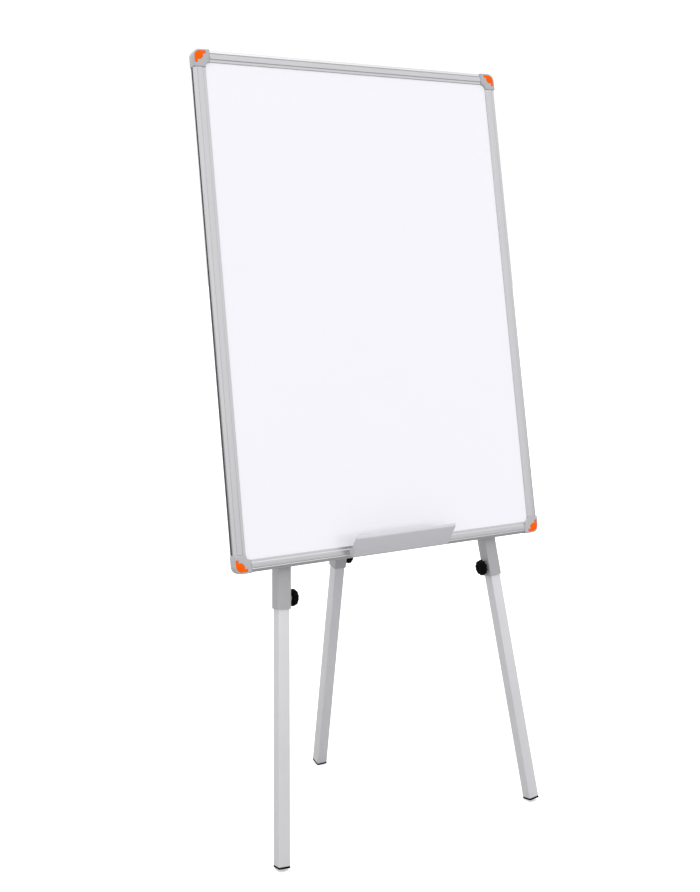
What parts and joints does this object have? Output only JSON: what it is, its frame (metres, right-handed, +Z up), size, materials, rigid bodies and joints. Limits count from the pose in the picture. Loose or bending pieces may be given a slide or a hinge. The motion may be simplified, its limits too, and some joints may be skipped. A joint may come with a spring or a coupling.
{
  "type": "flipchart easel",
  "caption": "Framed white writing board with a pen tray on splayed telescopic front legs and a hinged telescopic rear leg, each leg locked by a clamp knob.",
  "frame": {"origin": "on the floor, at the middle of the whole easel's bounding box seen from above, with the legs set as modelled", "axes": "+Z up; the board faces -Y and leans back towards +Y, where the rear leg stands; +X is to the right of a person facing the board"},
  "size_m": [0.702, 0.4327, 1.5393],
  "materials": {
    "white_lacquer": "smooth semi-gloss white lacquer on steel sheet",
    "core_board": "kraft paper honeycomb core",
    "back_sheet_metal": "dull mill-finish sheet",
    "anodised_aluminium": "satin clear-anodised extrusion",
    "grey_plastic": "fine moulded texture",
    "orange_plastic": "smooth moulded",
    "tray_paint": "satin silver-grey powder coat on folded sheet",
    "sleeve_paint": "satin mid-grey powder coat on steel tube",
    "leg_silver": "satin silver coat on steel tube",
    "black_plastic": "fine moulded texture",
    "zinc_fastener": "bright zinc plate"
  },
  "bodies": {
    "board": {"writing_surface": "white_lacquer", "board_core": "core_board", "back_sheet": "back_sheet_metal", "frame_top": "anodised_aluminium", "frame_bottom": "anodised_aluminium", "frame_left": "anodised_aluminium", "frame_right": "anodised_aluminium", "corner_cap_top_left": "grey_plastic", "corner_cap_top_right": "grey_plastic", "corner_cap_bottom_left": "grey_plastic", "corner_cap_bottom_right": "grey_plastic", "corner_inlay_top_left": "orange_plastic", "corner_inlay_top_right": "orange_plastic", "corner_inlay_bottom_left": "orange_plastic", "corner_inlay_bottom_right": "orange_plastic", "pen_tray": "tray_paint", "tray_screw_left": "zinc_fastener", "tray_screw_right": "zinc_fastener", "front_sleeve_left": "sleeve_paint", "front_sleeve_right": "sleeve_paint", "sleeve_plug_left": "black_plastic", "sleeve_plug_right": "black_plastic", "sleeve_bush_left": "black_plastic", "sleeve_bush_right": "black_plastic", "strap_top_left": "zinc_fastener", "strap_top_right": "zinc_fastener", "strap_bottom_left": "zinc_fastener", "strap_bottom_right": "zinc_fastener", "strap_screw_top_left_inner": "zinc_fastener", "strap_screw_top_left_outer": "zinc_fastener", "strap_screw_top_right_inner": "zinc_fastener", "strap_screw_top_right_outer": "zinc_fastener", "strap_screw_bottom_left_inner": "zinc_fastener", "strap_screw_bottom_left_outer": "zinc_fastener", "strap_screw_bottom_right_inner": "zinc_fastener", "strap_screw_bottom_right_outer": "zinc_fastener", "crossbar": "sleeve_paint", "crossbar_bolt_left": "zinc_fastener", "crossbar_bolt_right": "zinc_fastener", "hinge_bracket": "sleeve_paint", "bracket_rivet_left": "zinc_fastener", "bracket_rivet_right": "zinc_fastener", "hinge_bolt": "zinc_fastener", "hinge_nut": "zinc_fastener"},
    "rear_strut": {"rear_sleeve": "sleeve_paint", "sleeve_plug_rear": "black_plastic", "sleeve_bush_rear": "black_plastic"},
    "leg_left": {"lower_leg_left": "leg_silver", "foot_cap_left": "black_plastic"},
    "leg_right": {"lower_leg_right": "leg_silver", "foot_cap_right": "black_plastic"},
    "leg_rear": {"lower_leg_rear": "leg_silver", "foot_cap_rear": "black_plastic"},
    "stud_left": {"clamp_stud_left": "zinc_fastener"},
    "stud_right": {"clamp_stud_right": "zinc_fastener"},
    "stud_rear": {"clamp_stud_rear": "zinc_fastener"},
    "knob_left": {"clamp_knob_left": "black_plastic"},
    "knob_right": {"clamp_knob_right": "black_plastic"},
    "knob_rear": {"clamp_knob_rear": "black_plastic"}
  },
  "joints": [
    {"name": "rear_leg_fold", "type": "hinge", "parent": "board", "child": "rear_strut", "pos_m": [0, 0.01355, 0.99161], "axis": [-1, 0, 0], "range_deg": [0, 21]},
    {"name": "leg_left_slide", "type": "slide", "parent": "board", "child": "leg_left", "axis": [-0.0913, -0.1755, -0.9802], "range_m": [-0.02, 0.4]},
    {"name": "leg_right_slide", "type": "slide", "parent": "board", "child": "leg_right", "axis": [0.0913, -0.1755, -0.9802], "range_m": [-0.02, 0.4]},
    {"name": "leg_rear_slide", "type": "slide", "parent": "rear_strut", "child": "leg_rear", "axis": [0, 0.1886, -0.9821], "range_m": [-0.02, 0.4]},
    {"name": "stud_left_travel", "type": "slide", "parent": "board", "child": "stud_left", "axis": [0.9958, -0.0161, -0.0899], "range_m": [0, 0.002]},
    {"name": "stud_right_travel", "type": "slide", "parent": "board", "child": "stud_right", "axis": [-0.9958, -0.0161, -0.0899], "range_m": [0, 0.002]},
    {"name": "stud_rear_travel", "type": "slide", "parent": "rear_strut", "child": "stud_rear", "axis": [1, 0, 0], "range_m": [0, 0.002]},
    {"name": "knob_left_turn", "type": "hinge", "parent": "stud_left", "child": "knob_left", "pos_m": [-0.24428, -0.11641, 0.48857], "axis": [0.9958, -0.0161, -0.0899], "range_deg": [0, 720]},
    {"name": "knob_right_turn", "type": "hinge", "parent": "stud_right", "child": "knob_right", "pos_m": [0.24428, -0.11641, 0.48857], "axis": [-0.9958, -0.0161, -0.0899], "range_deg": [0, 720]},
    {"name": "knob_rear_turn", "type": "hinge", "parent": "stud_rear", "child": "knob_rear", "pos_m": [0, 0.10986, 0.49008], "axis": [1, 0, 0], "range_deg": [0, 720]}
  ],
  "couplings": [
    {"joint": "stud_left_travel", "follows": "knob_left_turn", "m_per_rad": 0.000159},
    {"joint": "stud_right_travel", "follows": "knob_right_turn", "m_per_rad": 0.000159},
    {"joint": "stud_rear_travel", "follows": "knob_rear_turn", "m_per_rad": 0.000159}
  ]
}
